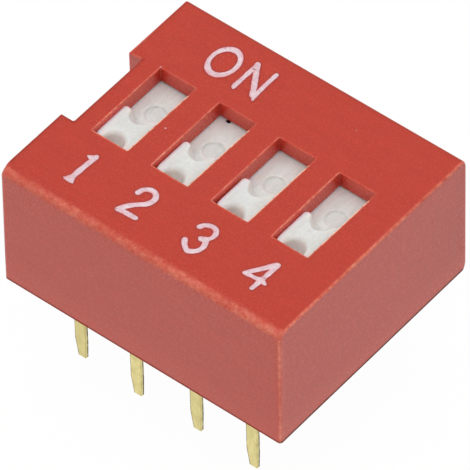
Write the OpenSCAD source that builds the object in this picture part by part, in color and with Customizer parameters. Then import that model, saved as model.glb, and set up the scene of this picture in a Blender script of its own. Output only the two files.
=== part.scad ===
// Four-way recessed slide switch in a dual in-line package, in millimetres.
// The origin is the middle of the pin grid on the seating plane. X runs along the row of
// switches, +Y is the ON side and +Z is up. The sliders are drawn in the OFF position.

/* [Switch row] */
// Distance from one switch to the next
pitch = 2.54; // [2.5:0.01:2.7]
// Distance between the two rows of pins
row_span = 7.62; // [7.5:0.01:7.8]

/* [Cover] */
// From the first switch's middle to the notched end
left_end = 2.04; // [2:0.01:2.6]
// From the last switch's middle to the plain end
right_end = 2.16; // [1.8:0.01:2.8]
// Height above the seating plane
cover_h = 5.34; // [5.2:0.01:6]
// Thickness of the top, over the sliders
top_wall = 0.62; // [0.45:0.01:0.8]
// Thickness of the two long walls
side_wall = 0.6; // [0.4:0.01:0.7]
// How far each long wall leans in from the rim to the top
draft = 0.08; // [0:0.01:0.12]
// Radius of the top edges
edge_r = 0.06; // [0.03:0.01:0.3]
// Radius of the top edge on the numbered side
front_edge_r = 0.21; // [0.05:0.01:0.4]
// Radius of the upright corners
corner_r = 0.12; // [0.05:0.01:0.4]
// Radius of the upright corners inside
inner_corner_r = 0.2; // [0.1:0.01:0.4]

/* [End notch] */
// Width of the notch along Y
notch_w = 3.54; // [2:0.02:5]
// Its middle, towards the ON side
notch_y = 0.07; // [-0.5:0.01:0.5]
// How far it is cut into the end
notch_depth = 0.54; // [0.2:0.01:0.6]
// Radius of its two inner corners
notch_r = 0.08; // [0.05:0.01:0.2]

/* [Windows] */
// Width of each window
window_w = 1.54; // [1.5:0.01:1.7]
// Length of each window
window_l = 3.6; // [3.3:0.01:3.8]
// Middle of the windows, towards the ON side
window_y = 0.15; // [0:0.01:0.25]
// Radius of the window corners
window_r = 0.04; // [0.02:0.01:0.2]
// Bevel round the top of the windows and the notch
rim_bevel = 0.02; // [0.01:0.01:0.1]

/* [Sliders] */
// Length of the knob along its travel
knob_l = 1.67; // [1.5:0.01:1.9]
// Width of the knob
knob_w = 1.4; // [1.2:0.01:1.44]
// Height of the knob above its plate
knob_h = 0.44; // [0.3:0.01:0.6]
// Radius of the knob's upright corners
knob_corner_r = 0.2; // [0.05:0.01:0.25]
// Radius of the knob's top edges
knob_edge_r = 0.06; // [0.02:0.01:0.1]
// Radius of the slanting bore that makes each thumb notch
thumb_r = 0.4; // [0.3:0.01:0.45]
// Slant of that bore from upright
thumb_slant = 36; // [20:1:45]
// Thickness of the plate
plate_t = 0.6; // [0.5:0.01:0.7]
// Radius of the plate's corners
plate_r = 0.2; // [0.05:0.01:0.4]
// How far the plate reaches past a window's end
plate_lap = 0.15; // [0.1:0.01:0.2]
// Radius of the round dimple in the plate
dimple_r = 0.44; // [0.3:0.01:0.5]
// From the knob's end to the dimple's middle
dimple_y = 0.51; // [0.45:0.01:0.7]
// Depth of the dimple
dimple_depth = 0.06; // [0.02:0.01:0.1]
// Width of the boss under the plate
boss_w = 1; // [0.8:0.01:1.1]
// Length of the boss
boss_l = 1.1; // [0.9:0.01:1.3]
// Height of the boss
boss_h = 0.35; // [0.2:0.01:0.45]
// Radius of the stud that holds the contact
stud_r = 0.25; // [0.2:0.01:0.27]
// Radius of the stud's staked head
head_r = 0.38; // [0.32:0.01:0.42]
// Height of the staked head
head_h = 0.1; // [0.06:0.01:0.15]

/* [Moving contacts] */
// Thickness of the spring strip
strip_t = 0.1; // [0.08:0.01:0.12]
// Width of the spring strip
strip_w = 0.9; // [0.85:0.01:1]
// Half the length of its flat middle
flat_half = 0.5; // [0.45:0.01:0.6]
// Radius where an arm leaves the flat middle
arm_bend_r = 0.2; // [0.15:0.01:0.3]
// Slope of the arms
arm_angle = 55; // [50:1:65]
// Radius of the foot that slides on the pads
foot_r = 0.22; // [0.15:0.01:0.3]
// How far the toe turns up
toe_angle = 40; // [20:1:60]
// Length of the toe past its bend
toe_l = 0.08; // [0.04:0.01:0.15]
// Width of the slit that splits each arm
slit_w = 0.14; // [0.08:0.01:0.2]

/* [Terminals] */
// Thickness of the terminal strip
terminal_t = 0.15; // [0.12:0.01:0.2]
// Width of a terminal's pad
pad_w = 0.9; // [0.8:0.01:1.1]
// Width of the pin
pin_w = 0.48; // [0.4:0.01:0.6]
// Length of the pin below the seating plane
pin_l = 3.6; // [2.8:0.05:4]
// Inner radius of the bend between pad and pin
terminal_bend_r = 0.15; // [0.1:0.01:0.2]
// Height of the tapered tip
tip_h = 0.8; // [0.3:0.05:1]
// Taper on the tip's long side
tip_cut = 0.12; // [0.05:0.01:0.15]
// Taper on the tip's short side
tip_cut_short = 0.03; // [0:0.01:0.05]
// How far a pad reaches past the foot that rests on it
pad_margin = 0.35; // [0.3:0.01:0.45]

/* [Base and seal] */
// Height of the seal's underside above the seating plane
seal_recess = 0.12; // [0.05:0.01:0.2]
// Thickness of the sealing resin
seal_t = 0.63; // [0.4:0.01:0.8]
// Thickness of the base under its channels
floor_t = 1.6; // [1.3:0.05:1.8]
// Width of a channel
channel_w = 1.5; // [1.3:0.01:1.6]
// Thickness of the wall at each end of a channel
channel_end = 0.35; // [0.2:0.01:0.4]
// From a pin's outer face to the end of its channel
pin_room = 0.07; // [0.02:0.01:0.15]

/* [Clearances] */
// Between the sliders and what they run on
run_gap = 0.04; // [0.03:0.01:0.06]
// Between a knob and the end of its window
stop_gap = 0.06; // [0.04:0.01:0.08]
// Between a plate and the ribs beside it
rib_gap = 0.05; // [0.03:0.01:0.08]
// Thickness of the ribs between the plates
rib_w = 0.34; // [0.25:0.01:0.45]
// Between the base and the cover
base_gap = 0.02; // [0.01:0.01:0.05]
// Between a contact's feet and the pads
foot_gap = 0.03; // [0.02:0.01:0.05]
// Between the stud and the contact's hole
stud_gap = 0.03; // [0.02:0.01:0.04]
// Round a terminal in its pocket
pocket_gap = 0.01; // [0.01:0.01:0.03]

/* [Hidden] */
$fn = 48;

switches = 4;
first_x = -(switches - 1) * pitch / 2;
// Reach of a cutter past the face that it opens
over = 1;

plate_w = pitch - rib_w - 2 * rib_gap;
hollow_l = (switches - 1) * pitch + plate_w + 2 * rib_gap;
channel_l = row_span + terminal_t + 2 * pin_room;
base_w = channel_l + 2 * channel_end;
hollow_w = base_w + 2 * base_gap;
cover_w = hollow_w + 2 * side_wall;
cover_l = left_end + (switches - 1) * pitch + right_end;
cover_x = (right_end - left_end) / 2;
ceiling_z = cover_h - top_wall;

travel = window_l - knob_l - 2 * stop_gap;
off_y = window_y - travel / 2;
plate_l = knob_l + 2 * (travel + stop_gap + plate_lap);
plate_top = ceiling_z - run_gap;
plate_z = plate_top - plate_t;
boss_z = plate_z - boss_h;

runner_z = plate_z - run_gap;
base_z = seal_recess + seal_t;
floor_z = base_z + floor_t;

// The arm drops from the flat's middle line to the foot's, and its run follows from that
strip_z = boss_z - strip_t / 2;
foot_z = floor_z + foot_gap + strip_t / 2;
bend_drop = (arm_bend_r + foot_r) * (1 - cos(arm_angle));
arm_l = (strip_z - foot_z - bend_drop) / sin(arm_angle);
foot_y = flat_half + (arm_bend_r + foot_r) * sin(arm_angle) + arm_l * cos(arm_angle);

// Reach of each row's pads from their pins towards the middle
long_reach = row_span / 2 + off_y + travel - foot_y + pad_margin;
short_reach = row_span / 2 - off_y - foot_y - pad_margin;

function switch_x(i) = first_x + (i - 1) * pitch;

// Flat shapes

// A rectangle about the origin with round corners
module rounded(l, w, r) {
    square([l - 2 * r, w], center = true);
    square([l, w - 2 * r], center = true);
    for (x = [-1, 1], y = [-1, 1])
        translate([x * (l / 2 - r), y * (w / 2 - r)]) circle(r);
}

// An upright section on the X axis whose sides lean in and whose two top corners are round
module arched(w, h, left_r, right_r, lean = 0) {
    tilt = atan(lean / h);
    left = arch_centre(w, h, left_r, tilt);
    right = arch_centre(w, h, right_r, tilt);
    polygon([
        [-w / 2, 0], [w / 2, 0], right + right_r * [cos(tilt), sin(tilt)], right, [right.x, h],
        [-left.x, h], [-left.x, left.y], [-left.x - left_r * cos(tilt), left.y + left_r * sin(tilt)]
    ]);
    translate([-left.x, left.y]) circle(left_r);
    translate(right) circle(right_r);
}

// Middle of a corner's arc, which touches the top and the leaning side
function arch_centre(w, h, r, tilt) = [w / 2 - (h - r) * tan(tilt) - r / cos(tilt), h - r];

// A section that opens upwards from w by one bevel on each side
module flared(w, bevel) {
    polygon([[-w / 2, -bevel], [w / 2, -bevel], [w / 2 + bevel + over, over],
             [-w / 2 - bevel - over, over]]);
}

// A strip whose middle line takes steps of [straight run, turn, bend radius]
module strip(steps, t, i = 0) {
    run = steps[i][0];
    turn = steps[i][1];
    r = steps[i][2];
    side = sign(turn);
    translate([0, -t / 2]) square([run, t]);
    if (turn != 0) translate([run, side * r]) bend(r, t, turn);
    if (i < len(steps) - 1)
        translate([run, side * r]) rotate(turn) translate([0, -side * r]) strip(steps, t, i + 1);
}

// The ring sector that joins two straight runs, about its own centre
module bend(r, t, turn) {
    reach = 2 * (r + t);
    start = turn > 0 ? -90 : 90;
    intersection() {
        difference() {
            circle(r + t / 2);
            circle(r - t / 2);
        }
        polygon([[0, 0], for (a = [0, 0.5, 1]) reach * [cos(start + a * turn), sin(start + a * turn)]]);
    }
}

// Extrusions of an upright section along each of the two level axes
module along_x(l) {
    rotate([90, 0, 90]) linear_extrude(l, center = true) children();
}

module along_y(w) {
    rotate([90, 0, 0]) linear_extrude(w, center = true) children();
}

// A block on z = 0 with round upright corners and round top edges
module soft_block(l, w, h, upright_r, top_r) {
    intersection() {
        linear_extrude(h) rounded(l, w, upright_r);
        along_y(w + over) arched(l, h, top_r, top_r);
        along_x(l + over) arched(w, h, top_r, top_r);
    }
}

// A cutter that opens a face at z = 0 with round corners and a bevelled rim
module rimmed_cut(l, w, depth, r, bevel) {
    translate([0, 0, -depth]) linear_extrude(depth + over) rounded(l, w, r);
    intersection() {
        along_y(w + 4 * over) flared(l, bevel);
        along_x(l + 4 * over) flared(w, bevel);
    }
}

// Cover

module cover() {
    color("#c4483c") difference() {
        translate([cover_x, 0, 0]) cover_block();
        difference() {
            hollow();
            ribs();
        }
        for (i = [1 : switches]) translate([switch_x(i), window_y, cover_h])
            rimmed_cut(window_w, window_l, top_wall + over, window_r, rim_bevel);
        end_notch();
    }
}

// The outside, whose long walls lean in and whose upright corners are rounded along that lean
module cover_block() {
    difference() {
        intersection() {
            along_y(cover_w + over) arched(cover_l, cover_h, edge_r, edge_r);
            along_x(cover_l + over) arched(cover_w, cover_h, front_edge_r, edge_r, draft);
        }
        for (x = [0, 1], y = [0, 1]) mirror([x, 0, 0]) mirror([0, y, 0])
            translate([cover_l / 2, cover_w / 2, 0]) rotate([atan(draft / cover_h), 0, 0])
                translate([0, 0, -over]) linear_extrude(cover_h + 2 * over) corner_cut(corner_r);
    }
}

// What rounding takes off a square corner that points to +X and +Y from the origin
module corner_cut(r) {
    difference() {
        translate([-r, -r]) square(r + over);
        translate([-r, -r]) circle(r);
    }
}

module hollow() {
    translate([0, 0, -over]) linear_extrude(ceiling_z + over)
        rounded(hollow_l, hollow_w, inner_corner_r);
}

// Ribs under the top, which part the sliders and rest on the base
module ribs() {
    for (i = [1 : switches - 1])
        translate([switch_x(i) + (pitch - rib_w) / 2, -cover_w / 2, runner_z])
            cube([rib_w, cover_w, top_wall + plate_t + over]);
}

module end_notch() {
    cut_l = 2 * (notch_depth + over);
    translate([cover_x - cover_l / 2 + notch_depth - cut_l / 2, notch_y, cover_h])
        rimmed_cut(cut_l, notch_w, cover_h + over, notch_r, rim_bevel);
}

// Slider: knob, sliding plate, and a boss with a staked stud that carries the contact

module slider(i) {
    color("#e0e2de") translate([switch_x(i), off_y, 0]) {
        plate();
        knob();
        translate([0, 0, boss_z]) linear_extrude(boss_h + plate_t / 2)
            square([boss_w, boss_l], center = true);
        translate([0, 0, boss_z - strip_t - head_h / 2])
            cylinder(r = stud_r, h = strip_t + head_h / 2 + boss_h / 2);
        translate([0, 0, boss_z - strip_t - head_h]) cylinder(r = head_r, h = head_h);
    }
}

module plate() {
    difference() {
        translate([0, 0, plate_z]) linear_extrude(plate_t) rounded(plate_w, plate_l, plate_r);
        for (end = [-1, 1])
            translate([0, end * (knob_l / 2 + dimple_y), plate_top - dimple_depth])
                cylinder(r = dimple_r, h = dimple_depth + over);
    }
}

// The block goes down through the plate, and its two notches end on the plate's top
module knob() {
    difference() {
        translate([0, 0, plate_z])
            soft_block(knob_w, knob_l, plate_t + knob_h, knob_corner_r, knob_edge_r);
        for (end = [0, 1]) mirror([0, end, 0]) translate([0, knob_l / 2, plate_top]) thumb_notch();
    }
}

// A bore whose middle line meets the knob's end at the top and slants out towards the plate
module thumb_notch() {
    intersection() {
        translate([0, 0, knob_h]) rotate([thumb_slant, 0, 0])
            cylinder(r = thumb_r, h = 2 * (knob_h + over), center = true);
        translate([-knob_w / 2, -knob_l / 2, 0]) cube([knob_w, knob_l, knob_h + over]);
    }
}

// Moving contact: a split spring strip whose feet bridge the two pads when the switch is ON

module moving_contact(i) {
    arm = [[flat_half, -arm_angle, arm_bend_r], [arm_l, arm_angle + toe_angle, foot_r], [toe_l, 0, 0]];
    color("#d9bd6a") translate([switch_x(i), off_y, 0]) difference() {
        for (end = [0, 180]) rotate(end) translate([0, 0, strip_z])
            along_x(strip_w) strip(arm, strip_t);
        translate([0, 0, strip_z - over]) cylinder(r = stud_r + stud_gap, h = 2 * over);
        for (end = [0, 180]) rotate(end)
            translate([-slit_w / 2, flat_half, foot_z - over]) cube([slit_w, foot_y + over, cover_h]);
    }
}

// Terminal: a pad let into the channel's floor, bent down into a flat pin with a tapered tip

module terminal(i) {
    front = i <= switches;
    reach = front ? long_reach : short_reach;
    column = front ? i : 2 * switches + 1 - i;
    color("#dcd08c") translate([switch_x(column), 0, 0]) rotate(front ? 180 : 0)
        translate([0, row_span / 2, 0]) intersection() {
            translate([0, -reach, floor_z - terminal_t / 2])
                along_x(pad_w) strip(terminal_steps(reach), terminal_t);
            along_y(row_span + 2 * over) terminal_outline();
        }
}

// The pad runs out to the bend, whose middle line then goes straight down the pin
function terminal_steps(reach) =
    let (r = terminal_bend_r + terminal_t / 2)
    [[reach - r, -90, r], [floor_z - terminal_t / 2 - r + pin_l, 0, 0]];

neck_z = floor_z - terminal_t - terminal_bend_r;

module terminal_outline() {
    polygon([
        [-pad_w / 2, floor_z + over], [-pad_w / 2, neck_z], [-pin_w / 2, neck_z],
        [-pin_w / 2, tip_h - pin_l], [tip_cut_short - pin_w / 2, -pin_l],
        [pin_w / 2 - tip_cut, -pin_l], [pin_w / 2, tip_h - pin_l],
        [pin_w / 2, neck_z], [pad_w / 2, neck_z], [pad_w / 2, floor_z + over]
    ]);
}

// Base: channels for the contacts, pockets for the pads and slots for the pins

module base() {
    color("#26272a") difference() {
        translate([0, 0, base_z]) linear_extrude(runner_z - base_z)
            rounded(hollow_l - 2 * base_gap, base_w, inner_corner_r);
        for (i = [1 : switches]) translate([switch_x(i), 0, 0]) {
            translate([-channel_w / 2, -channel_l / 2, floor_z]) cube([channel_w, channel_l, cover_h]);
            pocket(short_reach);
            rotate(180) pocket(long_reach);
        }
    }
}

// Room for one terminal, square outside its bend and clear of it inside
module pocket(reach) {
    deep = terminal_t + terminal_bend_r;
    half = terminal_t / 2 + pocket_gap;
    translate([0, row_span / 2, 0]) {
        translate([-pad_w / 2 - pocket_gap, -reach, floor_z - terminal_t])
            cube([pad_w + 2 * pocket_gap, reach + half, terminal_t + over]);
        translate([-pad_w / 2 - pocket_gap, -half - terminal_bend_r, neck_z])
            cube([pad_w + 2 * pocket_gap, 2 * half + terminal_bend_r, deep]);
        translate([-pin_w / 2 - pocket_gap, -half, 0])
            cube([pin_w + 2 * pocket_gap, 2 * half, floor_z]);
    }
}

// Seal: resin that closes the underside round the pins

module seal() {
    color("#4a3a2c") difference() {
        translate([0, 0, seal_recess]) linear_extrude(seal_t)
            rounded(hollow_l, hollow_w, inner_corner_r);
        for (i = [1 : switches], row = [-1, 1])
            translate([switch_x(i), row * row_span / 2, 0])
                cube([pin_w, terminal_t, 3 * base_z], center = true);
    }
}

cover();
base();
seal();
for (i = [1 : switches]) {
    slider(i);
    moving_contact(i);
}
for (i = [1 : 2 * switches]) {
    terminal(i);
}
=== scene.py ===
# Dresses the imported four-way slide switch: moulded cover, sliders, plated pins, printed legend,
# a pale floor and the camera. Piece sizes are in millimetres and become metres in makePiece.
import math

import bpy
import numpy as np
from mathutils import Matrix, Vector
from mathutils.geometry import tessellate_polygon


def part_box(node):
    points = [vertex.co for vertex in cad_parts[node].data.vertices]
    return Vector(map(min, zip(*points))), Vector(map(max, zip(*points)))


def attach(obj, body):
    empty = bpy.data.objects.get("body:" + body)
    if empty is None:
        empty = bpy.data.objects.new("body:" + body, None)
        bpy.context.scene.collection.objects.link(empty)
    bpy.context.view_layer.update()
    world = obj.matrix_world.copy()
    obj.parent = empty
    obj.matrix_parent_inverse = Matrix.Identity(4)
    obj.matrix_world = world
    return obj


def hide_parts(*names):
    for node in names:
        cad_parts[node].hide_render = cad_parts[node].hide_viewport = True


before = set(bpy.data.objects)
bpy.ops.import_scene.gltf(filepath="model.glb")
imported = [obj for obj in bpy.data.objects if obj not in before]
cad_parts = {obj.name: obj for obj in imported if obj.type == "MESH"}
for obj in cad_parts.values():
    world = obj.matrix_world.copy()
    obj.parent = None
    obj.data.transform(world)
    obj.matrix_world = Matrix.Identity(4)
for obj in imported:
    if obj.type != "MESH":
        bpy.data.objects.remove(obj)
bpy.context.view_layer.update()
scene = bpy.context.scene
mm = 0.001
print("packed model loaded:", len(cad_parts), "nodes")


def nodeBox(name):
    low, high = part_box(name)
    return np.array(low) / mm, np.array(high) / mm


# A shell collects points, faces, and two weights for each point: edge weights the edge colour,
# a painted highlight on the cover and the sliders, wear on the ink and dark cut edges on the pins;
# tint is how much paler (above 0) or darker (below 0) a point is, painted light and painted shade
# on the cover and the sliders, the dark skirt and bare spots of the ink, and dull pins. Rings are
# arrays of rows x points x 3, and neighbouring rings are joined by quads.
def newShell():
    return {"points": [], "edge": [], "tint": [], "quads": [], "tris": [], "count": 0}


def addPoints(shell, points, edge=0.0, tint=0.0):
    points = np.asarray(points, float)
    flat = points.reshape(-1, 3)
    ids = shell["count"] + np.arange(len(flat)).reshape(points.shape[:-1])
    shell["points"].append(flat)
    shell["edge"].append(np.broadcast_to(edge, points.shape[:-1]).reshape(-1))
    shell["tint"].append(np.broadcast_to(tint, points.shape[:-1]).reshape(-1))
    shell["count"] += len(flat)
    return ids


# Quad (k, j) takes points j and j + 1 of ring k and the same two of ring k + 1
def joinRings(shell, ids):
    here, above = ids[:-1], ids[1:]
    quads = np.stack([here, np.roll(here, -1, 1), np.roll(above, -1, 1), above], -1)
    shell["quads"].append(quads.reshape(-1, 4))


def addRings(shell, rings, edge=0.0, tint=0.0):
    ids = addPoints(shell, rings, edge, tint)
    joinRings(shell, ids)
    return ids


# Closes a flat region that lies between an outer loop and its holes, facing along normal
def fillFlat(shell, loops, normal):
    points = np.concatenate(shell["points"])
    ids = np.concatenate(loops)
    tris = np.array(tessellate_polygon([list(map(Vector, points[loop])) for loop in loops]))
    a, b, c = points[ids[tris]].transpose(1, 0, 2)
    wrong = np.cross(b - a, c - a) @ np.asarray(normal, float) < 0
    tris[wrong] = tris[wrong][:, ::-1]
    shell["tris"].append(ids[tris])


# The shell as an object, smooth but for edges that turn by more than sharpAngle degrees
def makePiece(name, shell, sharpAngle=38):
    points = np.concatenate(shell["points"]) * mm
    mesh = bpy.data.meshes.new(name)
    faces = [list(f) for block in shell["quads"] + shell["tris"] for f in block.tolist()]
    mesh.from_pydata(points.tolist(), [], faces)
    mesh.polygons.foreach_set("use_smooth", np.ones(len(faces), bool))
    for label in ("edge", "tint"):
        weight = mesh.attributes.new(label, "FLOAT", "POINT")
        weight.data.foreach_set("value", np.concatenate(shell[label]).astype(np.float32))
    mesh.validate()
    mesh.update()
    mesh.set_sharp_from_angle(angle=math.radians(sharpAngle))
    piece = bpy.data.objects.new(name, mesh)
    scene.collection.objects.link(piece)
    return piece


# Points on a corner: middle + r (cos a, sin a) for a from start through sweep degrees, and a
# guard point straight on past each end, so that the flat beyond it stays flat in the light.
# The first five hold one value, or one for each ring; the result is rings x points x 2, and a
# weight for each point: 1 along an outer corner, 0 along an inner one and at the guards.
def cornerRun(middleX, middleY, radius, start, sweep, guards, steps=6):
    given = np.broadcast_arrays(middleX, middleY, radius, start, sweep)
    middleX, middleY, radius, start, sweep = [np.atleast_1d(v)[:, None] for v in given]
    a = np.radians(start + sweep * np.linspace(0, 1, steps + 1))
    x = middleX + radius * np.cos(a)
    y = middleY + radius * np.sin(a)
    way = np.sign(sweep[0, 0])
    weight = np.full(steps + 1, max(way, 0.0))
    before, after = guards
    if before:
        x = np.c_[x[:, :1] + way * before * np.sin(a[:, :1]), x]
        y = np.c_[y[:, :1] - way * before * np.cos(a[:, :1]), y]
        weight = np.r_[0.0, weight]
    if after:
        x = np.c_[x, x[:, -1:] - way * after * np.sin(a[:, -1:])]
        y = np.c_[y, y[:, -1:] + way * after * np.cos(a[:, -1:])]
        weight = np.r_[weight, 0.0]
    return np.stack([x, y], -1), weight


# Rings at heights z from corner runs laid one after another, anticlockwise seen from above
def ringsFrom(runs, z):
    flat = np.concatenate([run[0] for run in runs], 1)
    columns = np.concatenate([run[1] for run in runs])
    height = np.broadcast_to(np.asarray(z, float)[:, None, None], flat.shape[:2] + (1,))
    return np.concatenate([flat, height], -1), columns


# A rounded rectangle about (x, y), grown by grow on every side with its corner middles fixed
def roundedRings(x, y, length, width, corner, z, grow, guard=0.02):
    grow = np.asarray(grow, float)
    halfX, halfY, radius = length / 2 - corner, width / 2 - corner, corner + grow
    runs = [
        cornerRun(x + sx * halfX, y + sy * halfY, radius, start, 90, (guard, guard))
        for sx, sy, start in ((-1, -1, 180), (1, -1, 270), (1, 1, 0), (-1, 1, 90))
    ]
    return ringsFrom(runs, z)[0]


# Circles about (x, y) at heights z, one radius for each
def circleRings(x, y, radius, z, count):
    return ringsFrom([cornerRun(x, y, radius, 0, 360 - 360 / count, (0, 0), count - 1)], z)[0]


# Inset and height of a quarter-round edge of radius r under a top at height h:
# inset = r (1 - cos a), z = h - r + r sin a, for a from 0 to 90 degrees
def quarterRound(r, h, steps=6):
    a = np.linspace(0, np.pi / 2, steps + 1)
    return r * (1 - np.cos(a)), h - r + r * np.sin(a)


# The same edge's inset at heights z: r - sqrt(r^2 - (z - h + r)^2), and 0 below the round
def roundInset(z, h, r):
    above = np.clip(z - (h - r), 0, r)
    return r - np.sqrt(np.maximum(r * r - above * above, 0))


coverLow, coverHigh = nodeBox("cover")
cover = {
    "frontLean": 0.04,    # how far the wall on the numbered side leans in from foot to top
    "frontRound": 0.25,   # top edge on the numbered side
    "backLean": 0.09,     # how far the wall on the ON side draws in below its crisp top edge
    "topRound": 0.06,     # the other top edges
    "footRound": 0.02,
    "cornerRound": 0.12,  # of the upright edges on the numbered side
    "cornerGrowth": {"left": 0.34, "right": 0.14},  # and how much rounder they are at the top
    "growthHeight": 0.48,
    "farCorner": 0.06,    # of the upright edges on the ON side
    "farGrowth": 0.16,    # and how much rounder they are at the foot, below footCut
    "footCut": 0.32,
    "edgeLine": 0.05,     # how far a line at the top's edges reaches on to the flat
    "footLine": 0.065,    # and the painted dark line (shade) at the foot up the walls
    "footGlow": 1.2,      # height up to which the walls take a little painted light
    "notchWidth": 3.51,
    "notchMiddle": 0.055,
    "notchDepth": 0.54,
    "notchCorner": 0.08,  # where its walls meet its floor
    "notchTip": 0.012,    # and where they meet the end
    "notchRim": 0.05,
    "topWall": 0.62,
    "sideWall": 0.6,
    "hollowLength": 9.82,
    "hollowCorner": 0.2,
    "ribWidth": 0.34,
    "ribDrop": 0.68,
    "ribLap": 0.05,       # how far the ribs run into the walls and the top
    "guard": 0.025,
    "cornerGuard": 0.14,  # on the two walls beside the upright edge with the painted highlight
    # painted highlight on the edges: numbered edge, right top edge, upright, its sides, notch rim
    "wear": {"front": 0.41, "right": 0.48, "corner": 0.75, "cornerSides": 0.2, "notch": 0.25},
    "flatShare": {"wear": 0.2, "soil": 0.5},  # of the painted highlight and the painted shade where they reach on to the flat
    "highlightLine": {"middle": 0.04, "half": 0.05},  # painted highlight on the upright edge, from the plain end
    "litReach": 0.1,      # half length of the painted highlight on the rim at the notch's wall on the ON side
    # painted shade, as dark lines: left and back top edges, and the foot line at the front and the
    # right
    "soil": {"left": 0.38, "back": 0.26, "front": 0.55, "right": 1.0},
    "shadeReach": {"left": 0.15, "back": 0.23},  # of the painted shade, past the notch's floor, and from the ON side
    "shadeStart": 0.35,    # the left edge has no painted shade up to here from the numbered side
    "shadeFade": 0.2,
    "cornerLine": 0.05,   # the painted dark line (shade) on two upright edges is full up to here, gone at twice it
    "cornerRows": 4,      # and goes so many rows up into the top's round
    "footPale": (0.25, 0.2),  # painted light, at the foot line's upper edge and at footCut
    # painted light on the walls of the notch
    "notchPale": 0.35,
}
window = {
    "width": 1.52,
    "length": 3.54,
    "middle": 0.14,
    "corner": 0.04,
    "rim": 0.025,
    "rimLines": (2.6, 1.4, 0.5),  # rings on the flat beside the rim, in guards
    # painted highlight on the rim, by side; above 1 it turns to a cream glint
    "rimHighlight": {"left": 0.55, "back": 0.2, "right": 1.2, "front": 0.55},
    "rimFade": 0.4,      # the right rim's painted highlight ends this far from the back
    "fadeLength": 0.06,  # over this length
    "rimShade": 0.4,      # of a painted dark line (shade) beside it
    "skew": 0.012,       # how far the right side leans out at the back and in at the front
    "play": {1: -0.018, 2: 0.0, 3: -0.003, 4: -0.026},  # of the right side, by window
    "cornerShade": {"top": 0.62, "foot": 0.34},  # painted shade of the walls where the left one meets the back one
    "cornerReach": 0.42,
    # painted light on the walls, strongest just under the rim and a quarter of it at the foot
    "wallPale": 0.9,
}
pitch = 2.54
switchX = [(i - 1.5) * pitch for i in range(4)]


# The outside at each height z is an outline whose straight sides move in by their own inset: what
# the round of that side's top edge takes off, with frontLean z / height on the numbered side and
# backLean u^1.5 on the ON side, u running from 0 where the numbered edge's round starts to 1
def coverOutside():
    f, height = cover, coverHigh[2]
    footIn, footZ = quarterRound(f["footRound"], f["footRound"], 4)
    _, topZ = quarterRound(f["frontRound"], height, 14)
    low = f["footRound"] + f["footLine"]
    high = height - f["frontRound"] - f["guard"]
    z = np.r_[f["footRound"] - footZ[::-1], low, low + f["guard"], f["footCut"], f["footGlow"],
              high, topZ, height, height]
    ends = np.zeros(len(z))
    ends[:len(footIn)] = footIn[::-1]
    ends[-2:] = f["edgeLine"], 2 * f["edgeLine"]
    soft, crisp, grow = [ends + roundInset(z, height, f[edge])
                         for edge in ("frontRound", "topRound", "notchRim")]
    lean = f["backLean"] * np.clip((z - high) / (height - high), 0, 1) ** 1.5
    front = coverLow[1] + f["frontLean"] * z / height + soft
    back = coverHigh[1] - lean - crisp
    left, right = coverLow[0] + crisp, coverHigh[0] - crisp
    notchLow = f["notchMiddle"] - f["notchWidth"] / 2 - grow
    notchHigh = f["notchMiddle"] + f["notchWidth"] / 2 + grow
    floorX = coverLow[0] + f["notchDepth"] + grow
    growth = np.clip((z - height + f["growthHeight"]) / f["growthHeight"], 0, 1) ** 2
    nearLeft, nearRight = [f["cornerRound"] + f["cornerGrowth"][side] * growth
                           for side in ("left", "right")]
    far = f["farCorner"] + f["farGrowth"] * np.clip(1 - z / f["footCut"], 0, 1) ** 2
    inner, tip = f["notchCorner"], f["notchTip"]
    guards, wide = (f["guard"],) * 2, (f["cornerGuard"],) * 2
    runs = [
        cornerRun(left + nearLeft, front + nearLeft, nearLeft, 180, 90, guards, 10),
        cornerRun(right - nearRight, front + nearRight, nearRight, 270, 90, wide, 10),
        cornerRun(right - far, back - far, far, 0, 90, guards),
        cornerRun(left + far, back - far, far, 90, 90, guards),
        cornerRun(left + tip, notchHigh + tip, tip, 180, 90, guards, 4),
        cornerRun(floorX - inner, notchHigh - inner, inner, 90, -90, guards),
        cornerRun(floorX - inner, notchLow + inner, inner, 0, -90, guards),
        cornerRun(left + tip, notchLow - tip, tip, 90, 90, guards, 4),
    ]
    rings, columns = ringsFrom(runs, z)
    return rings, *coverWeights(rings, columns, z, z <= low, len(topZ))
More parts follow.
